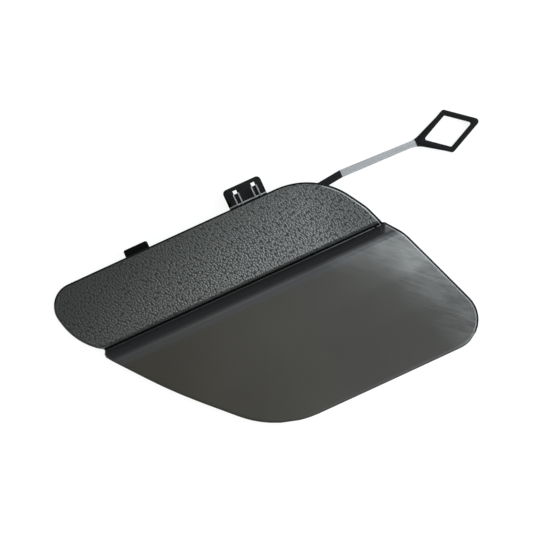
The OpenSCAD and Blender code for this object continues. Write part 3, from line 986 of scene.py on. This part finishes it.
# %% Strap and joint
root_side = skirt_way * strap_w / 2 / math.sin(turn(lead_way, skirt_way))
kink_side = (left(lead_way) + left(run_way)) / (1 + lead_way @ run_way) * strap_w / 2
joint_side = left(run_way) * strap_end_w / 2
tip = np.array(ring_rim[2][:2])
spread_left, spread_right = [tip + unit(np.array(ring_rim[k][:2]) - tip) * flare_len for k in (1, 3)]
plan = [(*(root - root_side), 0), (*(kink - kink_side), 0), (*(joint - joint_side), joint_r),
        (*spread_right, 0), ring_hole[2], (*spread_left, 0),
        (*(joint + joint_side), joint_r), (*(kink + kink_side), 0), (*(root + root_side), 0)]

lead_fall = (strap_root_h - strap_kink_h) / (kink[0] - root[0])
line = [(root[0] - strap_w, strap_root_h + strap_w * lead_fall, 0), (kink[0], strap_kink_h, 0),
        (joint[0], ring_h, 0), (ring_mid[0], ring_h, 0)]
side_view = [p[:2] for p in inset(line, -strap_t / 2, True) + inset(line, strap_t / 2, True)[::-1]]

# The strap is made in the painted highlight plastic, and its lead and its end at the ring go back to the
# darker back plastic.
strap = prism("strap", rounded(plan), 0, 20, "z", [painted_highlight_plastic])
combine(strap, prism("side_view", side_view, 0, band_depth + 5, "y"), "INTERSECT")
coated(eased(strap, 0.35), back_plastic, lambda x, y, z: not kink[0] < x < joint[0])
finished(smooth(strap, 4))

# %% Ring
ring_z = (ring_h - ring_t / 2, ring_h + ring_t / 2)
ring = prism("ring", rounded(ring_rim), *ring_z, "z", [back_plastic])
combine(ring, prism("hole", rounded(ring_hole), ring_z[0] - 1, ring_z[1] + 1), "DIFFERENCE")
finished(smooth(eased(ring, 0.35)))

# %% [markdown]
# ## Floor, light and camera
# The photograph looks straight down on the face, from a distance, with plain light from all
# sides. A dark moulding shows mostly what it mirrors. So the sky is warm and dimmer on the
# left, and has a bright soft window on the right, narrow along Y, for the right end of the
# crowned panel. A weaker and broader patch towards -Y lights the grain and the corner of the
# panel. The floor is white, and gives camera and mirror rays a little extra, so that it
# comes out white and keeps the shadow. Its underside is clear, and it throws no light or
# shadow on the part, so the back can be seen from below. The camera sees plain white past
# the floor, not the sky.

# %% Floor
FLOOR, FLOOR_PAINT, FLOOR_GLOW = 4000, 0.24, 0.86
floor = made("floor", [(-FLOOR, -FLOOR, 0), (FLOOR, -FLOOR, 0), (FLOOR, FLOOR, 0), (-FLOOR, FLOOR, 0)],
             [(0, 1, 2, 3)])
white = bpy.data.materials.new("white_floor")
white.use_nodes = True
tree = white.node_tree
tree.nodes.clear()
ways = add(tree, "ShaderNodeLightPath").outputs
seen = calc(tree, "MAXIMUM", ways["Is Camera Ray"], ways["Is Glossy Ray"])
seen = calc(tree, "MAXIMUM", seen, ways["Is Transmission Ray"])
paint = add(tree, "ShaderNodeBsdfDiffuse", {"Color": (FLOOR_PAINT,) * 3 + (1,)}).outputs[0]
strength = calc(tree, "MULTIPLY", seen, FLOOR_GLOW)
glow = add(tree, "ShaderNodeEmission", {"Color": (1, 1, 1, 1), "Strength": strength}).outputs[0]
both = add(tree, "ShaderNodeAddShader", {0: paint, 1: glow}).outputs[0]
clear = add(tree, "ShaderNodeBsdfTransparent").outputs[0]
from_below = add(tree, "ShaderNodeNewGeometry").outputs["Backfacing"]
both = add(tree, "ShaderNodeMixShader", {0: from_below, 1: both, 2: clear}).outputs[0]
add(tree, "ShaderNodeOutputMaterial", {"Surface": both})
floor.data.materials.append(white)
floor.visible_diffuse = floor.visible_shadow = False
print("floor of", 2 * FLOOR * MM, "m across")

# %% Parts of the sky
world = bpy.data.worlds.new("studio")
bpy.context.scene.world = world
world.use_nodes = True
tree = world.node_tree
tree.nodes.clear()
toward = add(tree, "ShaderNodeTexCoord").outputs["Generated"]
toward_x, toward_y, toward_z = axes(tree, toward)


def shaded(value, low, high, stops):
    """A colour that changes with a part of the direction, through stops of (place, colour)."""
    share = add(tree, "ShaderNodeMapRange", {"Value": value, "From Min": low, "From Max": high})
    band = add(tree, "ShaderNodeValToRGB", {"Fac": share.outputs["Result"]})
    band.color_ramp.interpolation = "EASE"
    elements = band.color_ramp.elements
    while len(elements) < len(stops):
        elements.new(0.5)
    for element, (place, colour) in zip(elements, stops):
        element.position, element.color = (place - low) / (high - low), (*colour, 1)
    return band.outputs["Color"]


def grey_stops(levels):
    return [(place, (grey,) * 3) for place, grey in levels]


def step(value, start, full):
    """Rises softly from 0 to 1 between two values."""
    if start > full:
        return calc(tree, "SUBTRACT", 1.0, step(value, full, start))
    return add(tree, "ShaderNodeMapRange", {"Value": value, "From Min": start, "From Max": full},
               interpolation_type="SMOOTHSTEP").outputs["Result"]


def patch(x, y, level, colour):
    """A soft-edged patch of light, from (start, full, full, end) across X and across Y."""
    sides_of = ((toward_x, x[:2]), (toward_x, x[:1:-1]), (toward_y, y[:2]), (toward_y, y[:1:-1]))
    parts = [step(value, start, full) for value, (start, full) in sides_of]
    amount = calc(tree, "MULTIPLY", calc(tree, "MULTIPLY", *parts[:2]), calc(tree, "MULTIPLY", *parts[2:]))
    above = calc(tree, "MULTIPLY", amount, calc(tree, "GREATER_THAN", toward_z, 0.0))
    strength = calc(tree, "MULTIPLY", above, level)
    return add(tree, "ShaderNodeBackground", {"Color": (*colour, 1), "Strength": strength}).outputs[0]


# %% Sky, window and corner light
SKY = 1.8
sides = shaded(toward_x, -0.5, 0.5, [(-0.40, (0.34, 0.328, 0.30)), (-0.18, (0.34, 0.328, 0.30)),
                                     (-0.02, (0.80, 0.78, 0.73)), (0.09, (0.63, 0.675, 0.72)),
                                     (0.30, (0.70, 0.76, 0.81))])
rise = shaded(toward_z, 0, 1, grey_stops([(0.0, 0.75), (0.12, 0.50), (0.50, 0.36), (0.85, 0.90),
                                          (0.95, 1.0)]))
ends = shaded(toward_y, -1, 1, grey_stops([(-1.0, 0.45), (-0.80, 0.70), (-0.40, 1.05), (-0.22, 0.84),
                                           (-0.08, 1.0), (0.03, 0.90), (0.14, 0.62), (0.32, 1.25),
                                           (0.6, 1.4), (1.0, 0.75)]))
sky = calc_vector(tree, "MULTIPLY", calc_vector(tree, "MULTIPLY", sides, rise), ends)
light = add(tree, "ShaderNodeBackground", {"Color": sky, "Strength": SKY}).outputs[0]
window = patch((0.15, 0.29, 0.50, 0.62), (-0.13, -0.03, 0.04, 0.16), 5.5, (0.90, 0.98, 1.0))
corner = patch((-0.10, 0.20, 0.50, 0.65), (-0.85, -0.65, -0.50, -0.36), 3.0, (0.92, 0.98, 1.0))
for part in (window, corner):
    light = add(tree, "ShaderNodeAddShader", {0: light, 1: part}).outputs[0]
plain = add(tree, "ShaderNodeBackground", {"Color": (1, 1, 1, 1), "Strength": 1.0}).outputs[0]
seen = add(tree, "ShaderNodeLightPath").outputs["Is Camera Ray"]
light = add(tree, "ShaderNodeMixShader", {0: seen, 1: light, 2: plain}).outputs[0]
add(tree, "ShaderNodeOutputWorld", {"Surface": light})
print("nodes of the sky:", len(tree.nodes))

# %% Camera
camera_data = bpy.data.cameras.new("camera")
camera = bpy.data.objects.new("camera", camera_data)
bpy.context.scene.collection.objects.link(camera)
CAMERA_ABOVE, VIEW_WIDTH, CAMERA_TURN = 800, 242.1, -24.6
camera.location = Vector((13.35, 4.2, 12 + CAMERA_ABOVE)) * MM
camera.rotation_euler = (0, 0, math.radians(CAMERA_TURN))
camera_data.sensor_width = 36
camera_data.lens = camera_data.sensor_width * CAMERA_ABOVE / VIEW_WIDTH
bpy.context.scene.camera = camera
bpy.context.scene.view_settings.view_transform = "Standard"
print("lens", round(camera_data.lens, 1), "mm")
